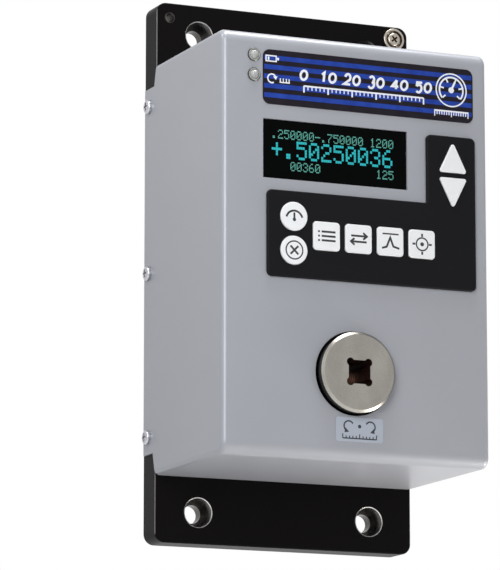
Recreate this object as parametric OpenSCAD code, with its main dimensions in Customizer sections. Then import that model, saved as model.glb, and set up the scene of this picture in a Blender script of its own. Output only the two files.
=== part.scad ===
// Wall-mounted digital torque tester.
//
// A thick steel back plate bolts to a wall or bench and carries a reaction torque
// transducer, whose square drive comes out through the front of a folded sheet housing.
// The front of the housing holds the display, the keypad and two indicator lamps.
//
// Frame: origin at the centre of the back plate's rear face, +X to the viewer's right,
// +Y into the wall, +Z up. All sizes are in millimetres.

/* [Back plate] */
// Width of the plate
plate_w = 156; // [152:1:160]
// Height of the plate
plate_h = 305; // [295:1:315]
// Thickness of the plate
plate_t = 16; // [14:1:20]
// Corner radius of the plate, seen from the front
plate_corner_r = 6; // [5:0.5:12]
// Rounding of the plate's front edges
plate_edge_r = 0.8; // [0.4:0.1:1.5]
// Distance between the mounting holes, side to side
mount_pitch_x = 104; // [98:1:108]
// Distance between the mounting holes, top to bottom
mount_pitch_z = 270; // [266:1:274]
// Clearance hole for a mounting bolt
mount_hole_d = 10.3; // [8.5:0.1:11]
// Counterbore for a mounting bolt's head
counterbore_d = 15.9; // [15:0.1:18]
// Depth of the counterbore
counterbore_depth = 9.5; // [7:0.5:11]

/* [Housing] */
// Height of the housing
housing_h = 231; // [226:1:236]
// Depth of the housing, from the front of the plate to its own front
housing_depth = 97; // [90:1:105]
// Thickness of the sheet
sheet_t = 1.3; // [1:0.1:1.6]
// Outer radius of the folds above and below the front
fold_r = 6.5; // [5:0.5:9]
// Outer radius of the edges round each side
side_edge_r = 3; // [2:0.25:4]
// Height of the flanges that lap the plate's sides
flange_h = 207; // [195:1:215]
// How far the flanges stop short of the wall
flange_setback = 2.5; // [1:0.5:4]

/* [Drive] */
// Sideways place of the drive from the centre line
drive_x = -2; // [-4:0.5:4]
// Height of the drive's centre
drive_z = -68.5; // [-70:0.5:-64]
// Female square, across its flats
drive_square = 12.8; // [12.7:0.05:12.9]
// Depth of the female square
drive_depth = 20; // [16:1:24]
// Outer diameter of the drive boss
boss_d = 44; // [40:0.5:45]
// How far the boss stands out of the housing
boss_proud = 6.5; // [4:0.5:8]

/* [Display] */
// Width of the display opening
display_w = 86; // [80:1:88]
// Height of the display opening
display_h = 32.6; // [28:0.2:34]

/* [Keypad] */
// How far the keypad bezel stands out of the housing
bezel_proud = 2; // [1.6:0.1:2.4]
// How far the keys stand out of the bezel
key_proud = 0.8; // [0.8:0.1:1.2]
// Travel of a key
key_travel = 0.8; // [0.5:0.1:0.8]
// Clearance round a key in the bezel
key_gap = 0.3; // [0.2:0.05:0.35]
// Size of a key across
key_size = 15.7; // [15:0.1:16.2]

/* [Power switch] */
// Tilt of the rocker to each side of level
rocker_tilt = 9; // [6:0.5:10]

/* [Hidden] */
$fn = 64;

// Planes across the depth of the tester; the front faces -Y
plate_front = -plate_t;
front = plate_front - housing_depth;
front_inside = front + sheet_t;
boss_front = front - boss_proud;
board_y = plate_front - 10;
board_t = 1.6;

// Housing across, and the slant of its flanges' roots
housing_w = plate_w + 2 * sheet_t;
flange_relief = 2.4;

// Cutters run past the faces that they cut
over = 1;
// A screw's clearance round it in its hole, on the radius
thread_gap = 0.05;
// How far a slanted side reaches in past its corners' centres, and stays inside their rims
slant_overlap = 0.9;
slant_bite = 0.01;

// Sides of the tapped holes in the back plate
side_screw_z = [-94, -2, 93];
side_screw_y = -9.5;
side_screw_d = 4;
ground_at = [68.6, 144.6];
ground_d = 5;
ground_cup_floor = 0.6;
lock_washer_t = 0.6;
spare_hole_at = [-70, 144];
counterbore_edge = 0.4;

// Transducer, with heights measured from the front of the plate
flange_d = 84;
flange_t = 12;
beam_d = 48;
hub_d = 56;
hub_from = 58;
hub_to = 78;
bolt_circle_d = 69;
bolt_count = 6;
bolt_d = 8;
bolt_grip = 11;
web_t = 11;
web_from = 19;
web_to = 52;

// Display
display_x = -12.6;
display_z = 51.2;
window_lap = 3;
window_t = 2;
tube_t = 6;
display_stud_x = 48.4;
display_stud_z = 21.2;
display_board_y = front_inside + window_t + 0.4 + tube_t;

// Keypad: an L that holds six keys in a row and two arrows above its right end
bezel_left = -53.8;
bezel_right = 71.1;
bezel_low = -18.8;
bezel_top = 28.5;
arm_left = 41.5;
arm_top = 66.9;
bezel_corner_r = 3;
bezel_inner_r = 1.2;
bezel_edge_r = 0.9;
bezel_lap = 3;
bezel_skin = 1.4;
key_edge_r = 0.5;
key_corner_r = 2;
key_lip = 0.6;
lip_t = 0.8;
pocket_slack = 0.1;
nub_h = 0.2;
dome_gap = 0.2;
keypad_board_y = front_inside + 1.5;

// Keys: place of each centre on the front
round_key_x = -38.5;
zero_z = 14.4;
clear_z = -4.1;
row_z = 4.9;
row_first_x = -19.3;
row_pitch = 19;
arrow_x = 57.1;
arrow_gap = 2.9;
arrow_w = 15.8;
arrow_h = 15.8;
arrow_mid_z = 44.9;
arrow_corner_r = 1.15;
bezel_boss_at = [[-28.6, 21], [-28.6, -12.5], [9, 20.5], [9, -11], [62, -12], [47.5, 58.5], [62, 20]];

// Labels and lamps
header_at = [7.4, 90.6];
header_size = [126.4, 30.2];
header_t = 0.4;
rating_at = [0.8, -98.9];
rating_size = [27.8, 13.2];
rating_t = 0.2;
led_x = -61;
led_z = [102, 91];
led_d = 5;

// Side panel, on the right
side_y = -58;
switch_z = 70;
switch_l = 19;
switch_w = 13;
rocker_l = 15.4;
rocker_w = 9.4;
rocker_gap = 0.4;
serial_z = 32;
jack_z = 2;

// Main board and battery
main_board_size = [136, 122];
main_board_z = 45;
standoff_inset = 5;
cell_d = 14.3;
cell_h = 50.5;
pack_x = -62;
pack_z = -76;
battery_lead_x = -50.5;

// Corner centres of a rectangle of size [w, h] whose corners have radius r
function rect(size, r) = [
    [r - size[0] / 2, r - size[1] / 2],
    [size[0] / 2 - r, r - size[1] / 2],
    [size[0] / 2 - r, size[1] / 2 - r],
    [r - size[0] / 2, size[1] / 2 - r],
];

// Direction of the edge from one point to the next
function heading(from, to) = atan2(to[1] - from[1], to[0] - from[0]);

// Half section of a slab's rim: r outwards, h tall, its outer edges rounded
module rim_section(r, h, top, bottom) {
    difference() {
        square([r, h]);
        if (top > 0)
            translate([r - top, h - top])
                edge_waste(top);
        if (bottom > 0)
            translate([r - bottom, bottom])
                mirror([0, 1])
                    edge_waste(bottom);
    }
}

// What a rounding of radius e takes off a square edge
module edge_waste(e) {
    difference() {
        square(e + over);
        circle(e);
    }
}

// Sweeps a rim's half section along one side, from one corner centre to the next
module sweep_side(from, to) {
    translate(from)
        rotate(heading(from, to) - 90)
            translate([0, norm(to - from), 0])
                rotate([90, 0, 0])
                    linear_extrude(norm(to - from))
                        children();
}

// A slab h thick on a right-angled outline of radius r round the given centres, which run
// anticlockwise, with its top and bottom edges rounded. The rim is swept along each side,
// turned about each outward corner, and turned inside out about the fillet of radius
// inner in each inward corner.
module soft_slab(centres, r, h, top = 0, bottom = 0, inner = 0) {
    n = len(centres);
    linear_extrude(h)
        polygon(centres);
    for (i = [0 : n - 1]) {
        here = centres[i];
        into = heading(centres[(i + n - 1) % n], here);
        out = heading(here, centres[(i + 1) % n]);
        outward = (out - into + 360) % 360 < 180;
        sweep_side(here, centres[(i + 1) % n])
            rim_section(r, h, top, bottom);
        if (outward)
            translate(here)
                rotate(into - 90)
                    rotate_extrude(angle = 90)
                        rim_section(r, h, top, bottom);
        if (!outward && inner > 0)
            translate(here + (r + inner) * [sin(into) + sin(out), -cos(into) - cos(out)])
                rotate(out + 90)
                    rotate_extrude(angle = 90)
                        translate([inner + r, 0])
                            mirror([1, 0])
                                rim_section(r, h, top, bottom);
    }
}

// An outline like soft_slab's with slanted sides. The sides stop just short of touching the
// round corners along a line, so that they always cross them.
module slanted_outline(centres, r) {
    n = len(centres);
    polygon([
        for (i = [0 : n - 1], k = [n - 1, 0])
            let (a = heading(centres[(i + k) % n], centres[(i + k + 1) % n]))
                centres[i] + (r - slant_bite) * [sin(a), -cos(a)]
    ]);
    for (c = centres)
        translate(c)
            circle(r);
}

// A slab on that outline, with its top edge rounded: its corners are whole turns, and the
// rims of its sides start inside them
module slanted_slab(centres, r, h, top) {
    n = len(centres);
    linear_extrude(h)
        polygon(centres);
    for (i = [0 : n - 1]) {
        sweep_side(centres[i], centres[(i + 1) % n])
            translate([-slant_overlap, 0])
                rim_section(slant_overlap + r - slant_bite, h, top, 0);
        translate(centres[i])
            rotate_extrude()
                rim_section(r, h, top, 0);
    }
}

// Puts a piece drawn on the XY plane onto the front: its Z then points at the viewer
module on_front(x, z, y) {
    translate([x, y, z])
        rotate([90, 0, 0])
            children();
}

// Puts a piece drawn about the Z axis onto a side; side is 1 for the right and -1 for the left
module on_side(side, y, z, x) {
    translate([side * x, y, z])
        rotate([0, side * 90, 0])
            children();
}

// A round bar or hole from height a to height b
module bar(d, a, b) {
    translate([0, 0, a])
        cylinder(d = d, h = b - a);
}

// The plate that bolts to the wall
module back_plate() {
    color("#1c1b1d")
        difference() {
            on_front(0, 0, 0)
                soft_slab(rect([plate_w, plate_h], plate_corner_r), plate_corner_r, plate_t, plate_edge_r);
            for (x = [-1, 1], z = [-1, 1])
                on_front(x * mount_pitch_x / 2, z * mount_pitch_z / 2, 0) {
                    bar(mount_hole_d, -over, plate_t + over);
                    bar(counterbore_d, plate_t - counterbore_depth, plate_t + over);
                    translate([0, 0, plate_t - counterbore_edge])
                        cylinder(d1 = counterbore_d, d2 = counterbore_d + 4 * counterbore_edge,
                                 h = 2 * counterbore_edge);
                }
            for (at = [ground_at, spare_hole_at])
                on_front(at[0], at[1], 0)
                    bar(ground_d + 2 * thread_gap, -over, plate_t + over);
            for (side = [-1, 1], z = side_screw_z)
                on_side(side, side_screw_y, z, plate_w / 2)
                    bar(side_screw_d + 2 * thread_gap, -10, over);
            at_transducer_bolts()
                bar(bolt_d + 2 * thread_gap, -bolt_grip - over, over);
            at_board_corners(plate_front)
                bar(3 + 2 * thread_gap, -8, over);
            at_strap_feet()
                bar(4 + 2 * thread_gap, -9, over);
        }
}

// Places of the transducer's bolts, on the front of the plate
module at_transducer_bolts() {
    for (i = [0 : bolt_count - 1])
        on_front(drive_x, drive_z, plate_front)
            rotate(i * 360 / bolt_count)
                translate([bolt_circle_d / 2, 0, 0])
                    children();
}

// The housing's solid form, drawn in by inset on every side: the front folds run along
// its width, and a smaller radius follows them round each side
module housing_form(inset) {
    r = fold_r - inset;
    across = housing_w - 2 * inset;
    fold_y = front + fold_r;
    fold_z = housing_h / 2 - fold_r;
    behind = 30;
    translate([-across / 2, 0, 0])
        rotate([90, 0, 90])
            soft_slab([[fold_y, -fold_z], [behind, -fold_z], [behind, fold_z], [fold_y, fold_z]],
                      r, across, side_edge_r - inset, side_edge_r - inset);
}

// Cuts through the housing from side to side, drawn as [y, z] points
module side_cut(from_x, to_x, points) {
    translate([from_x, 0, 0])
        rotate([90, 0, 90])
            linear_extrude(to_x - from_x)
                polygon(points);
}

// What comes off the form's open end: all that lies behind the plate's front, but for
// the flanges, and a slanted relief at each end of the flanges' roots
module housing_end_waste() {
    high = housing_h / 2 + over;
    beyond = 50;
    root = flange_h / 2;
    side_cut(-housing_w / 2 - over, housing_w / 2 + over, [
        [plate_front, -high], [beyond, -high], [beyond, high], [plate_front, high],
        [plate_front, root], [-flange_setback, root],
        [-flange_setback, -root], [plate_front, -root],
    ]);
    for (side = [-1, 1], end = [-1, 1])
        side_cut(side > 0 ? housing_w / 2 - side_edge_r : -housing_w / 2 - over,
                 side > 0 ? housing_w / 2 + over : side_edge_r - housing_w / 2, [
            [plate_front + over, end * root], [plate_front, end * root],
            [plate_front - flange_relief, end * (housing_h / 2 - side_edge_r)],
            [plate_front - flange_relief, end * high], [plate_front + over, end * high],
        ]);
}

// The folded sheet cover
module housing() {
    color("#a6a9b0")
        difference() {
            housing_form(0);
            housing_form(sheet_t);
            housing_end_waste();
            on_front(display_x, display_z, front_inside + over)
                translate([-display_w / 2, -display_h / 2, 0])
                    cube([display_w, display_h, sheet_t + 2 * over]);
            on_front(0, 0, front_inside + over)
                soft_slab(bezel_centres(bezel_lap, 1.5), 1.5, sheet_t + 2 * over);
            on_front(drive_x, drive_z, front_inside + over)
                bar(boss_d + 2, 0, sheet_t + 2 * over);
            for (z = led_z)
                on_front(led_x, z, front_inside + over)
                    bar(led_d + 1.6, 0, sheet_t + 2 * over);
            for (side = [-1, 1], z = side_screw_z)
                on_side(side, side_screw_y, z, plate_w / 2)
                    bar(side_screw_d + 0.4, -over, sheet_t + over);
            on_side(1, side_y, switch_z, plate_w / 2)
                translate([-switch_l / 2 - 0.2, -switch_w / 2 - 0.2, -over])
                    cube([switch_l + 0.4, switch_w + 0.4, sheet_t + 2 * over]);
            on_side(1, side_y, serial_z, plate_w / 2)
                translate([0, 0, -over])
                    serial_slab(0.4, sheet_t + 2 * over);
            for (z = [-1, 1])
                on_side(1, side_y, serial_z + z * 12.5, plate_w / 2)
                    bar(3.4, -over, sheet_t + over);
            on_side(1, side_y, jack_z, plate_w / 2)
                bar(8.2, -over, sheet_t + over);
        }
}

// A pan-head screw: its head stands on Z = 0 and its shank goes down
module pan_screw(d, head_d, head_h, length) {
    dish = head_d * 0.16;
    difference() {
        union() {
            rotate_extrude()
                difference() {
                    square([head_d / 2, head_h]);
                    translate([head_d / 2 - dish, head_h - dish])
                        edge_waste(dish);
                }
            bar(d, -length, 0);
        }
        for (a = [0, 90])
            rotate(a)
                translate([-head_d * 0.28, -head_d * 0.07, head_h * 0.45])
                    cube([head_d * 0.56, head_d * 0.14, head_h]);
    }
}

// The six screws that hold the housing's flanges to the plate
module housing_screws() {
    color("#b9babd")
        for (side = [-1, 1], z = side_screw_z)
            on_side(side, side_screw_y, z, housing_w / 2)
                pan_screw(side_screw_d, 8.1, 2.6, 9);
}

// The reaction transducer in one piece: flange, cross-shaped torsion beam, hub and drive boss
module transducer() {
    reach = plate_front - boss_front;
    color("#98948e")
        on_front(drive_x, drive_z, plate_front)
            difference() {
                rotate_extrude()
                    polygon([
                        [0, 0], [flange_d / 2, 0], [flange_d / 2, flange_t - 1],
                        [flange_d / 2 - 1, flange_t], [beam_d / 2 + 2, flange_t],
                        [beam_d / 2, flange_t + 3], [beam_d / 2, hub_from - 2],
                        [hub_d / 2, hub_from], [hub_d / 2, hub_to - 1],
                        [hub_d / 2 - 1, hub_to], [boss_d / 2, hub_to],
                        [boss_d / 2, reach - 1.5], [boss_d / 2 - 1.5, reach], [0, reach],
                    ]);
                for (a = [0 : 90 : 270])
                    rotate(a + 45)
                        translate([0, 0, web_from])
                            linear_extrude(web_to - web_from)
                                web_pocket();
                translate([0, 0, reach - drive_depth])
                    linear_extrude(drive_depth + over)
                        square_socket();
                for (i = [0 : bolt_count - 1])
                    rotate(i * 360 / bolt_count)
                        translate([bolt_circle_d / 2, 0, 0])
                            bar(bolt_d + 0.6, -over, flange_t + over);
            }
}

// One of the four pockets that leave the beam's cross-shaped section
module web_pocket() {
    rotate(-45)
        translate([web_t / 2 + 3, web_t / 2 + 3])
            union() {
                circle(3);
                translate([-3, 0])
                    square([beam_d, beam_d]);
                translate([0, -3])
                    square([beam_d, beam_d]);
            }
}

// The female square, with a round relief in each corner
module square_socket() {
    relief_r = 2.2;
    square(drive_square, center = true);
    for (x = [-1, 1], y = [-1, 1])
        translate([x, y] * (drive_square / 2 - relief_r * 0.5))
            circle(relief_r);
}

// A socket-head cap screw: its head stands on Z = 0 and its shank goes down
module cap_screw(d, head_d, head_h, length, hex) {
    difference() {
        union() {
            rotate_extrude()
                polygon([[0, 0], [head_d / 2, 0], [head_d / 2, head_h - 0.6],
                         [head_d / 2 - 0.6, head_h], [0, head_h]]);
            bar(d, -length, 0);
        }
        translate([0, 0, head_h / 2])
            cylinder(d = hex / cos(30), h = head_h, $fn = 6);
    }
}

module transducer_bolts() {
    color("#2b2b2d")
        at_transducer_bolts()
            translate([0, 0, flange_t])
                cap_screw(bolt_d, 13, bolt_d, flange_t + bolt_grip, 6);
}

// Four foil gauges, one on each web of the beam
module strain_gauges() {
    color("#b5762e")
        on_front(drive_x, drive_z, plate_front)
            for (a = [0 : 90 : 270])
                rotate(a)
                    translate([beam_d / 2 - 9, web_t / 2, (web_from + web_to) / 2 - 6])
                        cube([7, 0.3, 12]);
}

// A round lead that runs along Z from 0 to rise, and then bends towards +Y for reach
module bent_lead(d, rise, bend_r, reach) {
    cylinder(d = d, h = rise - bend_r);
    translate([0, bend_r, rise - bend_r])
        rotate([90, 0, -90])
            rotate_extrude(angle = 90)
                translate([bend_r, 0])
                    circle(d = d);
    translate([0, bend_r, rise])
        rotate([-90, 0, 0])
            cylinder(d = d, h = reach - bend_r);
}

// Screened lead from the gauges up to the main board
module sensor_cable() {
    from_z = drive_z + beam_d / 2;
    at_y = plate_front - 36;
    color("#77797c")
        translate([drive_x, at_y, from_z])
            bent_lead(4.4, -10.5 - from_z, 9, board_y - board_t - 5.8 - at_y);
}

module display_window() {
    color("#0b1012")
        on_front(display_x, display_z, front_inside + window_t)
            linear_extrude(window_t)
                square([display_w + 2 * window_lap, display_h + 2 * window_lap], center = true);
}

// Fluorescent display tube: a flat glass envelope with its pumping stub
module display_tube() {
    color("#26343a")
        on_front(display_x, display_z, display_board_y) {
            soft_slab(rect([84, 34], 1.2), 1.2, tube_t, 0.6);
            translate([-42, 10, tube_t / 2])
                rotate([0, -90, 0])
                    cylinder(d = 3, h = 3);
        }
}

module at_display_studs(y) {
    for (x = [-1, 1], z = [-1, 1])
        on_front(display_x + x * display_stud_x, display_z + z * display_stud_z, y)
            children();
}

module display_board() {
    color("#1e6b3c")
        difference() {
            on_front(display_x, display_z, display_board_y + board_t)
                linear_extrude(board_t)
                    square([103, 48], center = true);
            at_display_studs(display_board_y + board_t)
                bar(3.4, -over, board_t + over);
        }
}

// Shouldered studs on the back of the housing's front
module display_studs() {
    color("#b9babd")
        at_display_studs(front_inside)
            mirror([0, 0, 1]) {
                bar(5, 0, display_board_y - front_inside);
                bar(3, 0, display_board_y - front_inside + board_t + 4);
            }
}

module display_nuts() {
    color("#c9cacd")
        at_display_studs(display_board_y + board_t)
            mirror([0, 0, 1])
                difference() {
                    cylinder(d = 5.5 / cos(30), h = 2.4, $fn = 6);
                    bar(3 + 2 * thread_gap, -over, 2.4 + over);
                }
}

// Flat cable from the display board back to the main board
module display_ribbon() {
    color("#8d9297")
        translate([display_x - 12, display_board_y + board_t, display_z + 12])
            cube([24, board_y - board_t - 5.8 - display_board_y - board_t, 0.9]);
}

// Corner centres of the keypad's L, drawn in by inset, for corners of radius r
function bezel_centres(inset, r) = let (d = inset + r) [
    [bezel_left + d, bezel_low + d], [bezel_right - d, bezel_low + d],
    [bezel_right - d, arm_top - d], [arm_left + d, arm_top - d],
    [arm_left + d, bezel_top - d], [bezel_left + d, bezel_top - d],
];

// Outline of a key by its corner centres and their radius
round_key = [[[0, 0]], key_size / 2];
square_key = [rect([key_size, key_size], key_corner_r), key_corner_r];
arrow_key = [
    [
        [-arrow_w / 2 + arrow_corner_r, -arrow_h / 2 + arrow_corner_r],
        [arrow_w / 2 - arrow_corner_r, -arrow_h / 2 + arrow_corner_r],
        [0, arrow_h / 2 - arrow_corner_r],
    ],
    arrow_corner_r,
];

// Every key with its place: name, outline, centre and turn
arrow_shift = arrow_h / 2 + arrow_gap / 2;
function key_at(name) =
    name == "zero" ? [round_key, [round_key_x, zero_z], 0] :
    name == "clear" ? [round_key, [round_key_x, clear_z], 0] :
    name == "menu" ? [square_key, [row_first_x, row_z], 0] :
    name == "units" ? [square_key, [row_first_x + row_pitch, row_z], 0] :
    name == "peak" ? [square_key, [row_first_x + 2 * row_pitch, row_z], 0] :
    name == "test" ? [square_key, [row_first_x + 3 * row_pitch, row_z], 0] :
    name == "up" ? [arrow_key, [arrow_x, arrow_mid_z + arrow_shift], 0] :
    [arrow_key, [arrow_x, arrow_mid_z - arrow_shift], 180];
key_names = ["zero", "clear", "menu", "units", "peak", "test", "up", "down"];

// A key's outline grown by more, as a slab from height a to height b
module key_slab(name, more, a, b, edge = 0) {
    shape = key_at(name)[0];
    translate([0, 0, a])
        if (shape == round_key)
            rotate_extrude()
                rim_section(shape[1] + more, b - a, edge, 0);
        else if (shape == square_key)
            soft_slab(shape[0], shape[1] + more, b - a, edge);
        else if (edge > 0)
            slanted_slab(shape[0], shape[1] + more, b - a, edge);
        else
            linear_extrude(b - a)
                slanted_outline(shape[0], shape[1] + more);
}

module at_key(name, y) {
    on_front(key_at(name)[1][0], key_at(name)[1][1], y)
        rotate(key_at(name)[2])
            children();
}

// Moulded bezel that the keys stand in, plugged into the housing's front
module keypad_bezel() {
    skin = front - bezel_proud;
    skin_back = skin + bezel_skin;
    color("#202127")
        difference() {
            union() {
                on_front(0, 0, front)
                    soft_slab(bezel_centres(0, bezel_corner_r), bezel_corner_r, bezel_proud,
                              bezel_edge_r, 0, bezel_inner_r);
                on_front(0, 0, front_inside)
                    soft_slab(bezel_centres(bezel_lap + 0.2, 1.3), 1.3, sheet_t);
                for (p = bezel_boss_at)
                    on_front(p[0], p[1], keypad_board_y)
                        bar(5, 0, keypad_board_y - front_inside);
            }
            for (name = key_names)
                at_key(name, skin_back) {
                    key_slab(name, key_gap, -1.5 * over, bezel_skin + over);
                    key_slab(name, key_lip + key_gap, skin_back - front_inside - over, 0);
                }
            for (p = bezel_boss_at)
                on_front(p[0], p[1], keypad_board_y)
                    bar(2.2 + 2 * thread_gap, -over, 3.2);
        }
}

// A key: crown, retaining lip behind the bezel's skin, and a nub over its contact
module key(name) {
    lip_front = front - bezel_proud + bezel_skin + pocket_slack;
    crown = front - bezel_proud - key_proud;
    color("#ededef") {
        at_key(name, lip_front + lip_t) {
            key_slab(name, 0, 0, lip_front + lip_t - crown, key_edge_r);
            key_slab(name, key_lip, 0, lip_t);
            bar(3, -nub_h, 0);
        }
    }
}

module zero_key() { key("zero"); }
module clear_key() { key("clear"); }
module menu_key() { key("menu"); }
module units_key() { key("units"); }
module peak_key() { key("peak"); }
module test_key() { key("test"); }
module up_key() { key("up"); }
module down_key() { key("down"); }

module keypad_board() {
    color("#1e6b3c")
        difference() {
            on_front(0, 0, keypad_board_y + board_t)
                linear_extrude(board_t)
                    polygon(bezel_centres(bezel_lap + 0.5, 0));
            for (p = bezel_boss_at)
                on_front(p[0], p[1], keypad_board_y + board_t)
                    bar(2.6, -over, board_t + over);
        }
}

// Snap domes, one behind each key
module contact_domes() {
    rest_back = front - bezel_proud + bezel_skin + pocket_slack + lip_t + nub_h;
    dome_top = rest_back + key_travel + dome_gap;
    rise = keypad_board_y - dome_top;
    color("#c8c9cb")
        for (name = key_names)
            at_key(name, keypad_board_y)
                rotate_extrude()
                    polygon([[0, 0], [3.4, 0], [3.4, 0.2], [2.4, rise * 0.8], [1.2, rise], [0, rise]]);
}

module keypad_screws() {
    color("#b9babd")
        for (p = bezel_boss_at)
            on_front(p[0], p[1], keypad_board_y + board_t)
                mirror([0, 0, 1])
                    pan_screw(2.2, 4.4, 1.6, board_t + 2.8);
}

module keypad_ribbon() {
    from_y = keypad_board_y + board_t;
    color("#8d9297")
        translate([24, from_y, -8])
            cube([16, board_y - board_t - 5.8 - from_y, 0.9]);
}

module header_label() {
    color("#22285c")
        on_front(header_at[0], header_at[1], front)
            soft_slab(rect(header_size, 4), 4, header_t);
}

module rating_label() {
    color("#c2c6d0")
        on_front(rating_at[0], rating_at[1], front)
            soft_slab(rect(rating_size, 1.4), 1.4, rating_t);
}

// Clip rings that hold the lamps in the housing's front
module led_bezels() {
    color("#1d1e20")
        for (z = led_z)
            on_front(led_x, z, front)
                rotate_extrude()
                    polygon([[led_d / 2 + 0.1, -5], [led_d / 2 + 0.7, -5], [led_d / 2 + 0.7, 0],
                             [led_d / 2 + 1.2, 0], [led_d / 2 + 1.2, 0.5],
                             [led_d / 2 + 0.8, 0.9], [led_d / 2 + 0.1, 0.9]]);
}

// A domed lamp with its two legs
module led(z) {
    on_front(led_x, z, front) {
        translate([0, 0, 0.2])
            sphere(d = led_d);
        bar(led_d, -6, 0.2);
        bar(led_d + 0.8, -6, -5);
        for (x = [-1.27, 1.27])
            translate([x, 0, 0])
                bar(0.6, -16, -6);
    }
}

module battery_led() { color("#d9dcdf") led(led_z[0]); }
module torque_led() { color("#d9dcdf") led(led_z[1]); }

module at_board_corners(y) {
    for (x = [-1, 1], z = [-1, 1])
        on_front(x * (main_board_size[0] / 2 - standoff_inset),
                 main_board_z + z * (main_board_size[1] / 2 - standoff_inset), y)
            children();
}

module main_board() {
    color("#1e6b3c")
        difference() {
            on_front(0, main_board_z, board_y)
                linear_extrude(board_t)
                    square(main_board_size, center = true);
            at_board_corners(board_y)
                bar(3.4, -over, board_t + over);
        }
}

// Chips on the main board: place and size of each
chips = [[-14, 84, 22, 22, 2.4], [22, 74, 14, 18, 2], [-44, 80, 12, 8, 2], [-46, 48, 18, 12, 3.2],
         [22, 42, 10, 10, 1.8], [2, 34, 8, 12, 1.8], [-20, 26, 16, 8, 2]];

module board_chips() {
    color("#26272a")
        for (c = chips)
            on_front(c[0], c[1], board_y - board_t)
                translate([-c[2] / 2, -c[3] / 2, 0])
                    cube([c[2], c[3], c[4]]);
}

// Pin headers on the main board that the cables plug into
side_header_x = 46;
headers = [[display_x, display_z + 12.4, 28, 6], [32, -7.6, 20, 6], [drive_x, -10.5, 10, 8],
           [battery_lead_x, -10.5, 8, 8], [side_header_x, switch_z, 8, 8],
           [side_header_x, serial_z, 8, 14], [side_header_x, jack_z, 8, 8]];

module board_headers() {
    color("#e6e2d3")
        for (c = headers)
            on_front(c[0], c[1], board_y - board_t)
                translate([-c[2] / 2, -c[3] / 2, 0])
                    cube([c[2], c[3], 5.8]);
}

module board_standoffs() {
    color("#c9b26a")
        at_board_corners(plate_front)
            difference() {
                cylinder(d = 6 / cos(30), h = 10, $fn = 6);
                bar(3 + 2 * thread_gap, -over, 10 + over);
            }
}

module board_screws() {
    color("#b9babd")
        at_board_corners(board_y - board_t)
            pan_screw(3, 5.6, 2, board_t + 10 + 6);
}

// Six cells, two wide and three deep, with end wafers
module battery_pack() {
    color("#2f6fa8")
        translate([pack_x, plate_front - 0.4, pack_z]) {
            for (i = [-1, 1], j = [0 : 2])
                translate([i * cell_d / 2, -(j + 0.5) * cell_d, 0])
                    cylinder(d = cell_d - 0.1, h = cell_h, center = true);
            for (z = [-1, 1])
                translate([0, -1.5 * cell_d, z * cell_h / 2])
                    cube([2 * cell_d - 6, 3 * cell_d - 6, 1.2], center = true);
        }
}

strap_w = 18;
strap_t = 1.2;
strap_foot = 10;
module at_strap_feet() {
    for (z = [-1, 1])
        on_front(pack_x, pack_z + z * (cell_h / 2 + 1.4 + strap_t + strap_foot / 2), plate_front)
            children();
}

// Sheet strap over the battery, with a foot at each end
module battery_strap() {
    depth = 3 * cell_d + 0.8;
    half = cell_h / 2 + 1.4;
    color("#b4b6ba")
        difference() {
            translate([pack_x - strap_w / 2, plate_front, pack_z])
                rotate([90, 0, 90])
                    linear_extrude(strap_w)
                        union() {
                            for (s = [-1, 1]) {
                                translate([-strap_t, s > 0 ? half : -half - strap_t - strap_foot])
                                    square([strap_t, strap_t + strap_foot]);
                                translate([-depth - strap_t, s > 0 ? half : -half - strap_t])
                                    square([depth + strap_t, strap_t]);
                            }
                            translate([-depth - strap_t, -half])
                                square([strap_t, 2 * half]);
                        }
            at_strap_feet()
                bar(4.4, -over, strap_t + over);
        }
}

module strap_screws() {
    color("#b9babd")
        at_strap_feet()
            translate([0, 0, strap_t])
                pan_screw(4, 7, 2.4, 8);
}

module battery_lead() {
    from_z = pack_z + cell_h / 2 + 0.6;
    at_y = plate_front - 2.5 * cell_d - 0.4;
    color("#8c2a26")
        translate([battery_lead_x, at_y, from_z])
            bent_lead(3.2, -10.5 - from_z, 7, board_y - board_t - 5.8 - at_y);
}

// Outline of the serial port's D, grown by more, as a slab
module serial_slab(more, h) {
    r = 2;
    high = 3.9 - r;
    linear_extrude(h)
        slanted_outline([[-8.2 + r, high], [-7.5 + r, -high], [7.5 - r, -high], [8.2 - r, high]], r + more);
}

// Nine-way D socket: shell, flange behind the sheet, and rear body
module serial_port() {
    color("#a9abb0")
        on_side(1, side_y, serial_z, plate_w / 2)
            difference() {
                union() {
                    serial_slab(0, sheet_t + 4.4);
                    translate([0, 0, -0.9])
                        linear_extrude(0.9)
                            square([31, 12.4], center = true);
                    translate([0, 0, -6])
                        linear_extrude(5.5)
                            square([19, 10.6], center = true);
                }
                for (i = [0 : 4])
                    translate([(i - 2) * 2.76, 1.42, 0])
                        bar(1.2, 1, sheet_t + 4.4 + over);
                for (i = [0 : 3])
                    translate([(i - 1.5) * 2.76, -1.42, 0])
                        bar(1.2, 1, sheet_t + 4.4 + over);
                for (x = [-12.5, 12.5])
                    translate([x, 0, 0])
                        bar(3.2, -2, over);
            }
}

module serial_jackscrews() {
    color("#c6c8cb")
        for (z = [-12.5, 12.5])
            on_side(1, side_y, serial_z + z, housing_w / 2)
                difference() {
                    union() {
                        cylinder(d = 4.8 / cos(30), h = 4.6, $fn = 6);
                        bar(3, -5, 0);
                    }
                    bar(2.6, 1, 4.6 + over);
                }
}

// Power inlet: a bushing through the sheet with a centre pin
module charger_jack() {
    color("#1f2022")
        on_side(1, side_y, jack_z, plate_w / 2)
            difference() {
                union() {
                    bar(8, 0, sheet_t + 3.4);
                    bar(11, -10, 0);
                }
                difference() {
                    bar(5.6, -8, sheet_t + 3.4 + over);
                    bar(2, -8 - over, sheet_t + 2.4);
                }
            }
}

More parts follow.
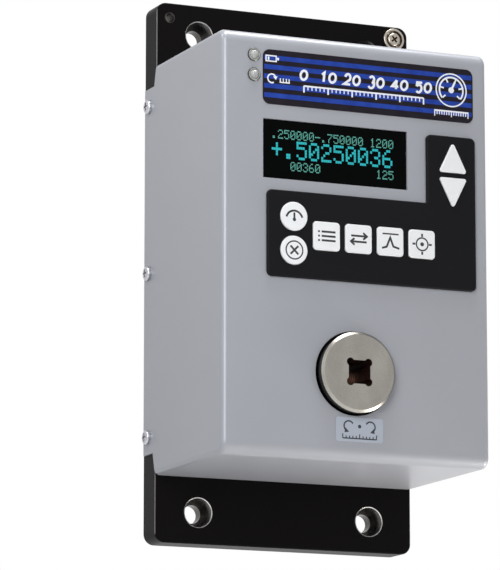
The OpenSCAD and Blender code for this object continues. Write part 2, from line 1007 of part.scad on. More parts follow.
module jack_nut() {
    color("#c6c8cb")
        on_side(1, side_y, jack_z, housing_w / 2)
            difference() {
                cylinder(d = 11 / cos(30), h = 2, $fn = 6);
                bar(8 + 2 * thread_gap, -over, 2 + over);
            }
}

// Rocker switch body: bezel outside, box inside with a well for the rocker
rocker_pivot_in = 2.6;
module switch_body() {
    color("#1b1c1e")
        on_side(1, side_y, switch_z, housing_w / 2)
            difference() {
                union() {
                    soft_slab(rect([switch_l + 2.4, switch_w + 2.2], 1.2), 1.2, 2, 0.6);
                    translate([0, 0, -14])
                        linear_extrude(14)
                            square([switch_l, switch_w], center = true);
                    for (x = [-5, 0, 5])
                        translate([x, 0, -18])
                            cube([0.8, 4.8, 10], center = true);
                }
                translate([0, 0, -8.4])
                    linear_extrude(12)
                        square([rocker_l + 2 * rocker_gap, rocker_w + 2 * rocker_gap], center = true);
            }
}

// The rocker, drawn level about its pivot and turned to its off side. Its ends are
// arcs about the pivot, so that its clearance stays the same as it tilts.
module power_rocker() {
    r = rocker_l / 2;
    color("#232427")
        on_side(1, side_y, switch_z, housing_w / 2 - rocker_pivot_in)
            rotate([0, rocker_tilt, 0])
                rotate([90, 0, 0])
                    translate([0, 0, -rocker_w / 2])
                        linear_extrude(rocker_w)
                            intersection() {
                                circle(r);
                                polygon([[-r - 1, -3], [r + 1, -3], [r + 1, 6.6], [0, 4.8], [-r - 1, 6.6]]);
                            }
}

// Leads from the side panel's fittings down to the main board
module side_leads() {
    color("#3a3b3f")
        for (at = [[switch_z, housing_w / 2 - 23], [serial_z, plate_w / 2 - 6], [jack_z, plate_w / 2 - 10]])
            translate([at[1], side_y, at[0]])
                rotate([0, -90, 0])
                    bent_lead(3, at[1] - side_header_x, 4, board_y - board_t - 5.8 - side_y);
}

// Cupped washer whose rim stands as high as the screw's head
module ground_washer() {
    rim_h = 2.6;
    color("#c9bfa6")
        on_front(ground_at[0], ground_at[1], plate_front)
            difference() {
                rotate_extrude()
                    rim_section(6.4, rim_h, 0.5, 0.3);
                bar(5.5, -over, ground_cup_floor + over);
                translate([0, 0, ground_cup_floor])
                    cylinder(d1 = 9.6, d2 = 10.4, h = rim_h);
            }
}

// Lock washer with square teeth round its rim
module lock_washer() {
    teeth = 10;
    color("#a9abae")
        on_front(ground_at[0], ground_at[1], plate_front - ground_cup_floor)
            difference() {
                union() {
                    bar(7.6, 0, lock_washer_t);
                    for (i = [0 : teeth - 1])
                        rotate(i * 360 / teeth)
                            translate([3, -0.7, 0])
                                cube([1.6, 1.4, lock_washer_t]);
                }
                bar(5.4, -over, lock_washer_t + over);
            }
}

module ground_screw() {
    color("#c3bda9")
        on_front(ground_at[0], ground_at[1], plate_front - ground_cup_floor - lock_washer_t)
            rotate(38)
                pan_screw(ground_d, 7.8, 1.8, 14);
}

back_plate();
housing();
housing_screws();
transducer();
transducer_bolts();
strain_gauges();
sensor_cable();
display_window();
display_tube();
display_board();
display_studs();
display_nuts();
display_ribbon();
keypad_bezel();
zero_key();
clear_key();
menu_key();
units_key();
peak_key();
test_key();
up_key();
down_key();
keypad_board();
contact_domes();
keypad_screws();
keypad_ribbon();
header_label();
rating_label();
led_bezels();
battery_led();
torque_led();
main_board();
board_chips();
board_headers();
board_standoffs();
board_screws();
battery_pack();
battery_strap();
strap_screws();
battery_lead();
switch_body();
power_rocker();
serial_port();
serial_jackscrews();
charger_jack();
jack_nut();
side_leads();
ground_washer();
lock_washer();
ground_screw();
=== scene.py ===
import math

import bmesh
import bpy
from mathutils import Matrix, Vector


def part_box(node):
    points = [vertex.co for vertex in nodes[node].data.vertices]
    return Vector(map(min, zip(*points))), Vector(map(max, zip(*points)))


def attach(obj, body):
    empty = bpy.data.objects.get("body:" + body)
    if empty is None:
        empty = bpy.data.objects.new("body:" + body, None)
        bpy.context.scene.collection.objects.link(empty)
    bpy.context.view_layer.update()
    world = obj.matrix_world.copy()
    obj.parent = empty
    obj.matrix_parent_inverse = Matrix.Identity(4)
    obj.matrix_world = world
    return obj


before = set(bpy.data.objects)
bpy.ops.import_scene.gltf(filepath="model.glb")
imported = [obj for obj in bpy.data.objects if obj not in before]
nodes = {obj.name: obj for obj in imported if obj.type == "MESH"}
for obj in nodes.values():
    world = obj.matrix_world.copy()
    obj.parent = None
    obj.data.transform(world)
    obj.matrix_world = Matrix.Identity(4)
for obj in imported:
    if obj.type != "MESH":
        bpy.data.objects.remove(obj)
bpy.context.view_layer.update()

# Looks for the wall-mounted torque tester. Sizes are in millimetres and become metres
# where a mesh, lamp or camera is made. The front faces -Y, and +X is the viewer's right.
MM = 0.001
scene = bpy.context.scene


def box_mm(node):
    """Lowest and highest corner of a CAD node, in millimetres."""
    low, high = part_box(node)
    return low / MM, high / MM


# Camera: where the photograph was taken from
TARGET = Vector((-35.71, -50.0, -11.96))
YAW = math.radians(23.635)
PITCH = math.radians(10.378)
DISTANCE = 2201.97
LENS = 252.5
SENSOR = 36
CLIP_END = 50

camera = bpy.data.objects.new("camera", bpy.data.cameras.new("camera"))
scene.collection.objects.link(camera)
scene.camera = camera
ahead = Vector((math.sin(YAW) * math.cos(PITCH), math.cos(YAW) * math.cos(PITCH), math.sin(PITCH)))
camera.location = (TARGET - ahead * DISTANCE) * MM
camera.rotation_mode = "QUATERNION"
camera.rotation_quaternion = ahead.to_track_quat("-Z", "Y")
camera.data.sensor_width = SENSOR
camera.data.lens = LENS
camera.data.clip_end = CLIP_END

scene.view_settings.view_transform = "Standard"

# Node materials
NOISE_LOW = 0.3
NOISE_HIGH = 0.7


def linear(red, green, blue):
    """An sRGB colour from 0 to 255 as the shader's linear colour."""
    def one(value):
        value /= 255
        return value / 12.92 if value <= 0.04045 else ((value + 0.055) / 1.055) ** 2.4
    return (one(red), one(green), one(blue), 1.0)


def shade(colour, factor):
    """A linear colour made lighter or darker."""
    return tuple(min(1.0, c * factor) for c in colour[:3]) + (1.0,)


class Shader:
    """A material's node tree with its Principled shader, and short ways to add nodes to it."""

    def __init__(self, name, **sockets):
        self.material = bpy.data.materials.new(name)
        self.material.use_nodes = True
        self.tree = self.material.node_tree
        self.surface = self.tree.nodes["Principled BSDF"]
        for key, value in sockets.items():
            self.surface.inputs[key.replace("_", " ")].default_value = value

    def add(self, kind, **inputs):
        node = self.tree.nodes.new(kind)
        for key, value in inputs.items():
            self.set(node, key.replace("_", " "), value)
        return node

    def set(self, node, key, value):
        """Gives an input, by its name or number, a value or another node's output."""
        socket = node.inputs[key]
        if isinstance(value, bpy.types.NodeSocket):
            self.tree.links.new(value, socket)
        else:
            socket.default_value = value

    def math(self, operation, first, second=0.0):
        node = self.tree.nodes.new("ShaderNodeMath")
        node.operation = operation
        self.set(node, 0, first)
        self.set(node, 1, second)
        return node.outputs[0]

    def both(self, first, second):
        """Where two masks from 0 to 1 are both on."""
        return self.math("MULTIPLY", first, second)

    def either(self, first, second):
        """Where one of two masks from 0 to 1 is on."""
        return self.math("MAXIMUM", first, second)

    def within(self, value, middle, reach):
        """1 where value is less than reach from middle, else 0."""
        return self.math("LESS_THAN", self.math("ABSOLUTE", self.math("SUBTRACT", value, middle)), reach)

    def radius(self, across, along):
        squares = self.math("MULTIPLY", across, across), self.math("MULTIPLY", along, along)
        return self.math("SQRT", self.math("ADD", *squares))

    def distance(self, across, along, point):
        """How far a place lies from a point, both seen from the front."""
        return self.radius(self.math("SUBTRACT", across, point[0]), self.math("SUBTRACT", along, point[1]))

    def blend(self, first, second, share):
        """That share of the first value, and the rest of the second."""
        return self.math("ADD", self.math("MULTIPLY", first, share), self.math("MULTIPLY", second, 1 - share))

    def place(self):
        """X, Y and Z of the point being shaded, in millimetres."""
        coords = self.tree.nodes.new("ShaderNodeTexCoord")
        scaled = self.tree.nodes.new("ShaderNodeVectorMath")
        scaled.operation = "SCALE"
        scaled.inputs["Scale"].default_value = 1 / MM
        self.tree.links.new(coords.outputs["Object"], scaled.inputs[0])
        split = self.tree.nodes.new("ShaderNodeSeparateXYZ")
        self.tree.links.new(scaled.outputs[0], split.inputs[0])
        return split.outputs

    def noise(self, size, stretch=(1, 1, 1), detail=3.0):
        """Noise from 0 to 1 whose features are about size millimetres, longer where stretch is more."""
        coords = self.tree.nodes.new("ShaderNodeTexCoord")
        mapping = self.tree.nodes.new("ShaderNodeMapping")
        mapping.inputs["Scale"].default_value = [1 / (MM * size * s) for s in stretch]
        self.tree.links.new(coords.outputs["Object"], mapping.inputs["Vector"])
        noise = self.add("ShaderNodeTexNoise", Scale=1.0, Detail=detail, Roughness=0.5)
        self.tree.links.new(mapping.outputs[0], noise.inputs["Vector"])
        return noise.outputs["Fac"]

    def mix(self, factor, low, high):
        """A colour between two; 0, 6 and 7 are the Mix node's factor and its two colours."""
        node = self.tree.nodes.new("ShaderNodeMix")
        node.data_type = "RGBA"
        self.set(node, 0, factor)
        self.set(node, 6, low)
        self.set(node, 7, high)
        return node.outputs[2]

    def spread(self, value, low, high):
        """Maps the span where most noise lies onto low to high."""
        node = self.tree.nodes.new("ShaderNodeMapRange")
        self.tree.links.new(value, node.inputs[0])
        for index, number in enumerate((NOISE_LOW, NOISE_HIGH, low, high)):
            node.inputs[index + 1].default_value = number
        return node.outputs[0]

    def tone(self, noise, low, high):
        """A colour between two sRGB ones, led by noise."""
        return self.mix(self.spread(noise, 0, 1), linear(*low), linear(*high))

    def colour(self, value):
        self.set(self.surface, "Base Color", value)

    def rough(self, value):
        self.set(self.surface, "Roughness", value)

    def bump(self, height, depth):
        """Bumps of about depth millimetres."""
        node = self.add("ShaderNodeBump", Strength=1.0, Distance=depth * MM, Height=height)
        self.tree.links.new(node.outputs[0], self.surface.inputs["Normal"])


MOTTLE_SIZE = 40
GRAIN_SHARE = 0.7


def speckled(name, colour, rough, grain=0.4, amount=0.1, depth=0.01, stretch=(1, 1, 1), **sockets):
    """A plain finish with a fine grain in its colour, gloss and surface, and a faint slow mottle."""
    shader = Shader(name, **sockets)
    fine = shader.noise(grain, stretch)
    slow = shader.noise(MOTTLE_SIZE, detail=1.0)
    mottled = shader.blend(fine, slow, GRAIN_SHARE)
    spread = shader.spread(mottled, 0, 1)
    shader.colour(shader.mix(spread, shade(colour, 1 - amount), shade(colour, 1 + amount)))
    shader.rough(shader.spread(mottled, rough * 0.9, min(1, rough * 1.1)))
    if depth:
        shader.bump(fine, depth)
    return shader


def finish_node(names, shader):
    for name in names:
        mesh = nodes[name].data
        mesh.materials.clear()
        mesh.materials.append(shader.material)


# Silver metallic paint over the housing's sheet
finish_node(["housing"], speckled("silver_paint", linear(166, 168, 175), 0.36, grain=0.25, amount=0.05,
                                  depth=0.004, Metallic=0.2, Specular_IOR_Level=0.22))

# Back plate: black coat, bare metal painted dark as shade in the counterbores and the tapped holes, and a
# painted highlight of lighter grey along the two front upright edges. Only the mouth of the top right
# counterbore keeps its coat.
BOLT_AT = (52.0, 135.0)
COUNTERBORE_R = 7.95
MOUTH_R = 8.47
TAPPED_AT = (-70.0, 144.0)
TAPPED_R = 3.0
EDGE_HIGHLIGHT_WIDTH = 0.5
WALL_SLACK = 0.05
BACK_SLACK = 0.1


def plate_finish():
    shader = Shader("black_coat", Specular_IOR_Level=0.04)
    x, y, z = shader.place()
    low, high = box_mm("back_plate")
    off_middle = shader.math("ABSOLUTE", x)
    off_bolt = shader.distance(off_middle, shader.math("ABSOLUTE", z), BOLT_AT)
    off_tapped = shader.distance(x, z, TAPPED_AT)
    before_back = shader.math("LESS_THAN", y, high.y - BACK_SLACK)
    bore = shader.both(shader.math("LESS_THAN", off_bolt, COUNTERBORE_R + WALL_SLACK), before_back)
    tapped = shader.both(shader.math("LESS_THAN", off_tapped, TAPPED_R), before_back)
    coated = shader.both(shader.math("GREATER_THAN", x, 0), shader.math("GREATER_THAN", z, 0))
    opened = shader.both(shader.math("LESS_THAN", off_bolt, MOUTH_R), before_back)
    mouth = shader.both(opened, shader.math("SUBTRACT", 1.0, shader.either(bore, coated)))
    inset_x = shader.math("SUBTRACT", high.x, off_middle)
    inset_y = shader.math("SUBTRACT", y, low.y)
    # Painted highlight: a lighter grey strip along the plate's two front upright edges
    edge_highlight = shader.within(shader.math("MAXIMUM", inset_x, inset_y), 0, EDGE_HIGHLIGHT_WIDTH)
    fine = shader.noise(0.5)
    turned = shader.noise(0.5, (8, 1, 8))
    black = shader.tone(fine, (11, 9, 10), (16, 14, 15))
    # Painted shade: the bare metal in the counterbores and the tapped hole is coloured dark
    shaded_bore_metal = shader.tone(turned, (38, 36, 35), (86, 83, 81))
    bright = shader.tone(turned, (168, 166, 164), (206, 204, 202))
    painted_edge_highlight = shader.tone(fine, (96, 94, 94), (136, 134, 134))
    drilled = shader.either(bore, tapped)
    holes = shader.mix(mouth, shader.mix(drilled, black, shaded_bore_metal), bright)
    shader.colour(shader.mix(edge_highlight, holes, painted_edge_highlight))
    metal = shader.either(drilled, mouth)
    shader.set(shader.surface, "Metallic", metal)
    smoother = shader.math("MULTIPLY", metal, 0.1)
    shader.rough(shader.math("SUBTRACT", shader.spread(fine, 0.32, 0.42), smoother))
    shader.bump(fine, 0.006)
    return shader


finish_node(["back_plate"], plate_finish())

# Transducer: turned face and chamfer, painted shade on the wall round the boss, and an oiled
# square with a painted pool of light, brown, on its floor
BOSS_R = 22.0
SHADED_WALL_REACH = 0.08
SOCKET_REACH = 8.6
SOCKET_DEPTH = 20.0
SOCKET_LIP = 0.2
FLOOR_SLACK = 0.3
LIT_PATCH_AT = (4.6, -0.8)
LIT_PATCH_CORE = 1.2
LIT_PATCH_FADE = 0.32
OIL_COVER = 0.6
MARKS_PER_MM = 3.0
MARKS_SHARE = 0.35
transducer_low, transducer_high = box_mm("transducer")
drive = (transducer_low + transducer_high) / 2


def turned_finish():
    shader = Shader("turned_nickel")
    x, y, z = shader.place()
    across = shader.math("SUBTRACT", x, drive.x)
    along = shader.math("SUBTRACT", z, drive.z)
    radius = shader.radius(across, along)
    ring_place = shader.add("ShaderNodeCombineXYZ", X=shader.math("MULTIPLY", radius, MARKS_PER_MM), Y=y)
    ring_noise = shader.add("ShaderNodeTexNoise", Scale=1.0, Detail=4.0, Vector=ring_place.outputs[0])
    marks = ring_noise.outputs["Fac"]
    smear = shader.noise(9, (1, 1, 2), detail=2.0)
    face = shader.tone(shader.blend(marks, smear, MARKS_SHARE), (140, 136, 130), (158, 155, 149))
    # Painted shade: the boss's round wall is coloured dark
    shaded_wall = shader.within(radius, BOSS_R, SHADED_WALL_REACH)
    square = shader.both(shader.within(across, 0, SOCKET_REACH), shader.within(along, 0, SOCKET_REACH))
    inner = shader.both(square, shader.math("GREATER_THAN", y, transducer_low.y + SOCKET_LIP))
    floor = shader.math("GREATER_THAN", y, transducer_low.y + SOCKET_DEPTH - FLOOR_SLACK)
    # Painted pool of light: a lighter brown patch low on one side of the square's floor
    fade = shader.math("MULTIPLY", shader.distance(across, along, LIT_PATCH_AT), LIT_PATCH_FADE)
    lit_patch = shader.math("MAXIMUM", shader.math("SUBTRACT", LIT_PATCH_CORE, fade), 0.0)
    dark = shader.tone(smear, (38, 23, 19), (60, 38, 31))
    lit_brown = shader.tone(marks, (140, 96, 76), (186, 134, 108))
    oiled_and_lit = shader.mix(shader.math("MULTIPLY", floor, lit_patch), dark, lit_brown)
    covered = shader.math("MULTIPLY", inner, OIL_COVER)
    shader.set(shader.surface, "Metallic", shader.math("SUBTRACT", 1.0, covered))
    face_and_shaded_wall = shader.mix(shaded_wall, face, linear(46, 44, 43))
    shader.colour(shader.mix(inner, face_and_shaded_wall, oiled_and_lit))
    shader.rough(shader.spread(marks, 0.24, 0.34))
    shader.bump(marks, 0.004)
    return shader


finish_node(["transducer"], turned_finish())

# Plastics
finish_node(["keypad_bezel"], speckled("charcoal_moulding", linear(19, 19, 22), 0.5, grain=0.35,
                                       amount=0.12, depth=0.012, Specular_IOR_Level=0.09))
key_names = ["zero_key", "clear_key", "menu_key", "units_key", "peak_key", "test_key", "up_key", "down_key"]
finish_node(key_names, speckled("white_keys", linear(246, 247, 249), 0.42, grain=0.5, amount=0.02,
                                depth=0.006, Specular_IOR_Level=0.4))
black_plastic = speckled("black_plastic", linear(20, 20, 22), 0.4, grain=0.3, amount=0.15, depth=0.008,
                         Specular_IOR_Level=0.2)
finish_node(["switch_body", "charger_jack", "board_chips"], black_plastic)
finish_node(["power_rocker"], speckled("rocker_plastic", linear(26, 26, 28), 0.3, grain=0.4, amount=0.1,
                                       depth=0.004, Specular_IOR_Level=0.3))
finish_node(["board_headers"], speckled("header_nylon", linear(222, 214, 192), 0.5, amount=0.05))
finish_node(["display_window"], speckled("dark_acrylic", linear(2, 3, 3), 0.08, grain=3, amount=0.2,
                                         depth=0, Specular_IOR_Level=0.03))

# Metals
steel = speckled("plated_steel", linear(182, 182, 187), 0.3, grain=0.2, amount=0.12, depth=0.004,
                 Metallic=1.0)
finish_node(["housing_screws", "display_studs", "display_nuts", "keypad_screws", "board_screws",
             "strap_screws", "serial_port", "serial_jackscrews", "jack_nut", "contact_domes",
             "battery_strap"], steel)
finish_node(["ground_washer"], speckled("ground_washer_plating", linear(176, 168, 158), 0.25, grain=0.2,
                                        amount=0.2, depth=0.004, Metallic=1.0))
finish_node(["lock_washer"], speckled("lock_washer_plating", linear(92, 84, 76), 0.35, grain=0.2,
                                      amount=0.25, depth=0.004, Metallic=1.0))
RECESS_R = 2.5
RECESS_LIP = 0.12


def ground_screw_finish():
    """Dull plating, coloured dark brown inside the cross recess."""
    shader = Shader("ground_screw_plating", Metallic=1.0)
    x, y, z = shader.place()
    low, high = box_mm("ground_screw")
    off_axis = shader.distance(x, z, ((low.x + high.x) / 2, (low.z + high.z) / 2))
    sunk = shader.both(shader.math("LESS_THAN", off_axis, RECESS_R),
                       shader.math("GREATER_THAN", y, low.y + RECESS_LIP))
    fine = shader.noise(0.2)
    plated = shader.tone(fine, (158, 149, 138), (184, 176, 165))
    shader.colour(shader.mix(sunk, plated, linear(52, 40, 28)))
    shader.rough(shader.spread(fine, 0.26, 0.34))
    shader.bump(fine, 0.004)
    return shader


finish_node(["ground_screw"], ground_screw_finish())

LED_X = -61.0
LED_Z = 96.5
LED_OFF = 5.5
RING_EDGE_R = 3.3


def lamp_ring_finish():
    """Bright clip rings whose outer lip is painted dark as shade, round two lamps one above the other."""
    shader = Shader("lamp_rings", Metallic=1.0)
    x, _, z = shader.place()
    from_pair = shader.math("ABSOLUTE", shader.math("SUBTRACT", z, LED_Z))
    # Painted shade: a dark band round the outside of each ring
    shaded_lip = shader.math("GREATER_THAN", shader.distance(x, from_pair, (LED_X, LED_OFF)), RING_EDGE_R)
    fine = shader.noise(0.8)
    bright = shader.tone(fine, (132, 134, 131), (186, 188, 186))
    shader.colour(shader.mix(shaded_lip, bright, linear(66, 68, 65)))
    shader.rough(shader.spread(fine, 0.16, 0.26))
    shader.bump(fine, 0.01)
    return shader


finish_node(["led_bezels"], lamp_ring_finish())
finish_node(["transducer_bolts"], speckled("black_oxide", linear(40, 40, 42), 0.4, grain=0.3, amount=0.2,
                                           depth=0.006, Metallic=0.8))
finish_node(["board_standoffs"], speckled("brass", linear(196, 162, 92), 0.3, grain=0.3, amount=0.1,
                                          depth=0.003, Metallic=1.0))

# Boards, leads, the battery, the gauges and the glass pieces
board = speckled("board_mask", linear(26, 98, 54), 0.35, grain=1.2, amount=0.18, depth=0.01,
                 stretch=(1, 1, 4))
finish_node(["main_board", "display_board", "keypad_board"], board)
finish_node(["sensor_cable", "side_leads"], speckled("grey_jacket", linear(104, 106, 110), 0.55,
                                                     grain=0.5, amount=0.12))
finish_node(["battery_lead"], speckled("red_jacket", linear(150, 38, 32), 0.5, grain=0.5, amount=0.12))
ribbon_cable = speckled("ribbon_cable", linear(148, 152, 156), 0.5, grain=1.27, amount=0.2, depth=0.05,
                        stretch=(1, 60, 60))
finish_node(["display_ribbon", "keypad_ribbon"], ribbon_cable)
finish_node(["battery_pack"], speckled("shrink_film", linear(44, 96, 166), 0.3, grain=2, amount=0.12))
finish_node(["strain_gauges"], speckled("gauge_foil", linear(190, 126, 56), 0.4, grain=0.3, amount=0.25))
finish_node(["display_tube"], speckled("tube_glass", linear(70, 92, 96), 0.06, grain=0.6, amount=0.15,
                                       depth=0, Transmission_Weight=0.6, IOR=1.5))
lamp_lens = speckled("lamp_lens", linear(206, 208, 206), 0.1, grain=1.4, amount=0.25, depth=0.12,
                     Transmission_Weight=0.35, IOR=1.5)
finish_node(["battery_led", "torque_led"], lamp_lens)

# Header film: blue bands on black
header_low, header_high = box_mm("header_label")
header_middle = (header_low + header_high) / 2
BAND_DROP = 3.2
BAND_PITCH = 5.2
BAND_SHARE = 0.5
BANDS = 5
BORDER = 0.7


def header_finish():
    shader = Shader("header_film", Roughness=0.3, Specular_IOR_Level=0.12)
    x, _, z = shader.place()
    turns = shader.math("DIVIDE", shader.math("SUBTRACT", header_high.z - BAND_DROP, z), BAND_PITCH)
    striped = shader.math("LESS_THAN", shader.math("FRACT", turns), BAND_SHARE)
    counted = shader.within(turns, (BANDS - BAND_SHARE) / 2, BANDS / 2)
    inside = shader.within(x, header_middle.x, (header_high.x - header_low.x) / 2 - BORDER)
    band = shader.both(shader.both(striped, counted), inside)
    ink = shader.noise(6, detail=2.0)
    blue = shader.tone(ink, (34, 60, 150), (42, 74, 170))
    black = shader.tone(ink, (24, 20, 28), (32, 27, 36))
    shader.colour(shader.mix(band, black, blue))
    shader.bump(shader.noise(0.6), 0.003)
    return shader


finish_node(["header_label"], header_finish())
finish_node(["rating_label"], speckled("label_foil", linear(180, 187, 199), 0.4, grain=0.3, amount=0.03,
                                       depth=0.003, Metallic=0.1, Specular_IOR_Level=0.3))


# Marks printed on the faces, built as thin ribbons and dots
def piece(name, body, shader, mesh_builder):
    mesh = bmesh.new()
    mesh_builder(mesh)
    bmesh.ops.recalc_face_normals(mesh, faces=mesh.faces)
    data = bpy.data.meshes.new(name)
    mesh.to_mesh(data)
    mesh.free()
    data.materials.append(shader.material)
    made = bpy.data.objects.new(name, data)
    scene.collection.objects.link(made)
    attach(made, body)


class Face:
    """A flat front face that marks are printed on, measured from its middle."""

    def __init__(self, node):
        low, high = box_mm(node)
        self.middle = Vector(((low.x + high.x) / 2, low.y, (low.z + high.z) / 2))

    def at(self, u, v, height):
        return (self.middle + Vector((u, -height, v))) * MM


INK_T = 0.03
INK_STEP = 0.004
INK_SINK = 0.01
MITRE_LIMIT = 0.35
RING_STEPS = 40
DISC_STEPS = 20


def prism(mesh, face, points, level=0):
    """A closed slab of ink on a flat outline; where slabs cross, their levels differ."""
    low = [mesh.verts.new(face.at(u, v, -INK_SINK)) for u, v in points]
    top = [mesh.verts.new(face.at(u, v, INK_T + INK_STEP * level)) for u, v in points]
    mesh.faces.new(top)
    mesh.faces.new(list(reversed(low)))
    for i in range(len(points)):
        j = (i + 1) % len(points)
        mesh.faces.new((low[i], low[j], top[j], top[i]))


def ribbon(mesh, face, points, width, closed=False, level=0):
    """A line of ink of that width along the points, with mitred corners."""
    points = [Vector(p) for p in points]
    count = len(points)
    left, right = [], []
    for i, here in enumerate(points):
        before = points[i - 1] if i or closed else None
        after = points[(i + 1) % count] if i < count - 1 or closed else None
        into = (here - before).normalized() if before is not None else None
        out = (after - here).normalized() if after is not None else None
        into = into or out
        out = out or into
        side = Vector((-into.y - out.y, into.x + out.x)).normalized()
        reach = width / 2 / max(MITRE_LIMIT, side.dot(Vector((-into.y, into.x))))
        left.append(here + side * reach)
        right.append(here - side * reach)
    if not closed:
        prism(mesh, face, left + right[::-1], level)
        return
    for i in range(count):
        j = (i + 1) % count
        prism(mesh, face, [left[i], left[j], right[j], right[i]], level)


def arc(centre, radius, start, end, steps=28):
    """Points round an arc, with its angles in degrees."""
    angles = [math.radians(start + (end - start) * i / steps) for i in range(steps + 1)]
    return [(centre[0] + radius * math.cos(a), centre[1] + radius * math.sin(a)) for a in angles]


def arc_point(centre, radius, angle):
    return arc(centre, radius, angle, angle, 1)[0]


def ring(mesh, face, centre, radius, width):
    ribbon(mesh, face, arc(centre, radius, 0, 360, RING_STEPS)[:-1], width, True)


def disc(mesh, face, centre, radius, level=0):
    prism(mesh, face, arc(centre, radius, 0, 360, DISC_STEPS)[:-1], level)


def spoke(centre, near, far, angle):
    return [arc_point(centre, radius, angle) for radius in (near, far)]


key_ink = speckled("key_ink", linear(38, 38, 42), 0.5, grain=0.3, amount=0.1, depth=0)
white_ink = speckled("white_ink", linear(240, 242, 248), 0.4, grain=0.3, amount=0.03, depth=0)
dark_ink = speckled("dark_ink", linear(44, 46, 54), 0.5, grain=0.3, amount=0.1, depth=0)
STROKE = 1.1


def zero_mark(mesh, face):
    """An empty scale with its pointer at nought."""
    pivot = (0, -1.8)
    ribbon(mesh, face, arc(pivot, 4.8, 15, 165), STROKE)
    ribbon(mesh, face, [pivot, (0, 2.0)], STROKE)
    disc(mesh, face, pivot, 1.0, 1)


def clear_mark(mesh, face):
    """A cross in a ring."""
    arm = 2.3
    ribbon(mesh, face, [(-arm, -arm), (arm, arm)], STROKE)
    ribbon(mesh, face, [(-arm, arm), (arm, -arm)], STROKE, level=1)
    ring(mesh, face, (0, 0), 4.9, 0.75)


def menu_mark(mesh, face):
    """Three lines of a list, each behind a dot."""
    pitch = 2.4
    for v in (-pitch, 0, pitch):
        disc(mesh, face, (-4.7, v), 0.6)
        ribbon(mesh, face, [(-3.1, v), (5.1, v)], STROKE)


def units_mark(mesh, face):
    """Two opposite arrows."""
    tail = 4.6
    tip = 4.8
    barb = 2.6
    rise = 1.8
    for v, way in ((1.6, 1), (-1.6, -1)):
        ribbon(mesh, face, [(-tail * way, v), (tail * way, v)], STROKE)
        ribbon(mesh, face, [(barb * way, v + rise), (tip * way, v), (barb * way, v - rise)], STROKE, level=1)


def peak_mark(mesh, face):
    """A curve that peaks under a line."""
    line_u = 4.8
    line_v = 4.2
    ribbon(mesh, face, [(-5.2, -3.8), (-2.4, -3.0), (-0.2, 2.2), (1.6, -2.6), (5.2, -3.6)], STROKE)
    ribbon(mesh, face, [(-line_u, line_v), (line_u, line_v)], 0.8)


def test_mark(mesh, face):
    """A target."""
    ring(mesh, face, (0, 0), 3.5, 0.8)
    disc(mesh, face, (0, 0), 1.1)
    for angle in (0, 90, 180, 270):
        ribbon(mesh, face, spoke((0, 0), 4.1, 5.8, angle), STROKE)


for key, mark in (("zero", zero_mark), ("clear", clear_mark), ("menu", menu_mark), ("units", units_mark),
                  ("peak", peak_mark), ("test", test_mark)):
    piece(f"{key}_mark", key, key_ink,
          lambda mesh, key=key, mark=mark: mark(mesh, Face(f"{key}_key")))

# Display: a grid of glowing dots that shows plain numbers
DIGITS = {
    "0": ("01110", "10001", "10011", "10101", "11001", "10001", "01110"),
    "1": ("00100", "01100", "00100", "00100", "00100", "00100", "01110"),
    "2": ("01110", "10001", "00001", "00110", "01000", "10000", "11111"),
    "3": ("01110", "10001", "00001", "00110", "00001", "10001", "01110"),
    "5": ("11111", "10000", "11110", "00001", "00001", "10001", "01110"),
    "6": ("00110", "01000", "10000", "11110", "10001", "10001", "01110"),
    "7": ("11111", "00001", "00010", "00100", "01000", "01000", "01000"),
    "-": ("00000", "00000", "00000", "11111", "00000", "00000", "00000"),
    "+": ("00000", "00100", "00100", "11111", "00100", "00100", "00000"),
    ".": ("00000", "00000", "00000", "00000", "00000", "01100", "01100"),
}
DOT_X = 0.61
DOT_Z = 0.72
DOT_GAP = 0.1
GLYPH_PITCH = 6
COLUMNS = 120
ROWS = 32
GRID_OFF = Vector((-0.7, -0.5))
window = Face("display_window")


def dot(mesh, column, row, scale):
    u = (column - COLUMNS / 2) * DOT_X + GRID_OFF.x
    v = (ROWS / 2 - row) * DOT_Z + GRID_OFF.y
    wide = DOT_X * scale - DOT_GAP
    high = DOT_Z * scale - DOT_GAP
    prism(mesh, window, [(u, v), (u + wide, v), (u + wide, v - high), (u, v - high)])


def readout(mesh, text, column, row, scale):
    """Writes text with its first glyph's top left dot at that column and row of the grid."""
    for place, glyph in enumerate(text):
        for down, line in enumerate(DIGITS.get(glyph, ())):
            for right, lit in enumerate(line):
                if lit == "1":
                    dot(mesh, column + (place * GLYPH_PITCH + right) * scale, row + down * scale, scale)


def glow_finish(name, colour, strength):
    shader = speckled(name, colour, 0.5, grain=0.6, amount=0.2, depth=0)
    shader.surface.inputs["Emission Strength"].default_value = strength
    flicker = shader.spread(shader.noise(3, detail=2.0), 0, 1)
    glow = shader.mix(flicker, shade(colour, 0.75), shade(colour, 1.2))
    shader.set(shader.surface, "Emission Color", glow)
    return shader


small_glow = glow_finish("small_dots", linear(74, 140, 128), 0.5)
large_glow = glow_finish("large_dots", linear(22, 146, 152), 0.6)


def small_lines(mesh):
    readout(mesh, ".250000-.750000 1200", 0, 0, 1)
    readout(mesh, "00360", 18, 24, 1)
    readout(mesh, "125", 102, 24, 1)


piece("display_small_lines", "base", small_glow, small_lines)
piece("display_large_line", "base", large_glow,
      lambda mesh: readout(mesh, "+.50250036", 0, 8, 2))

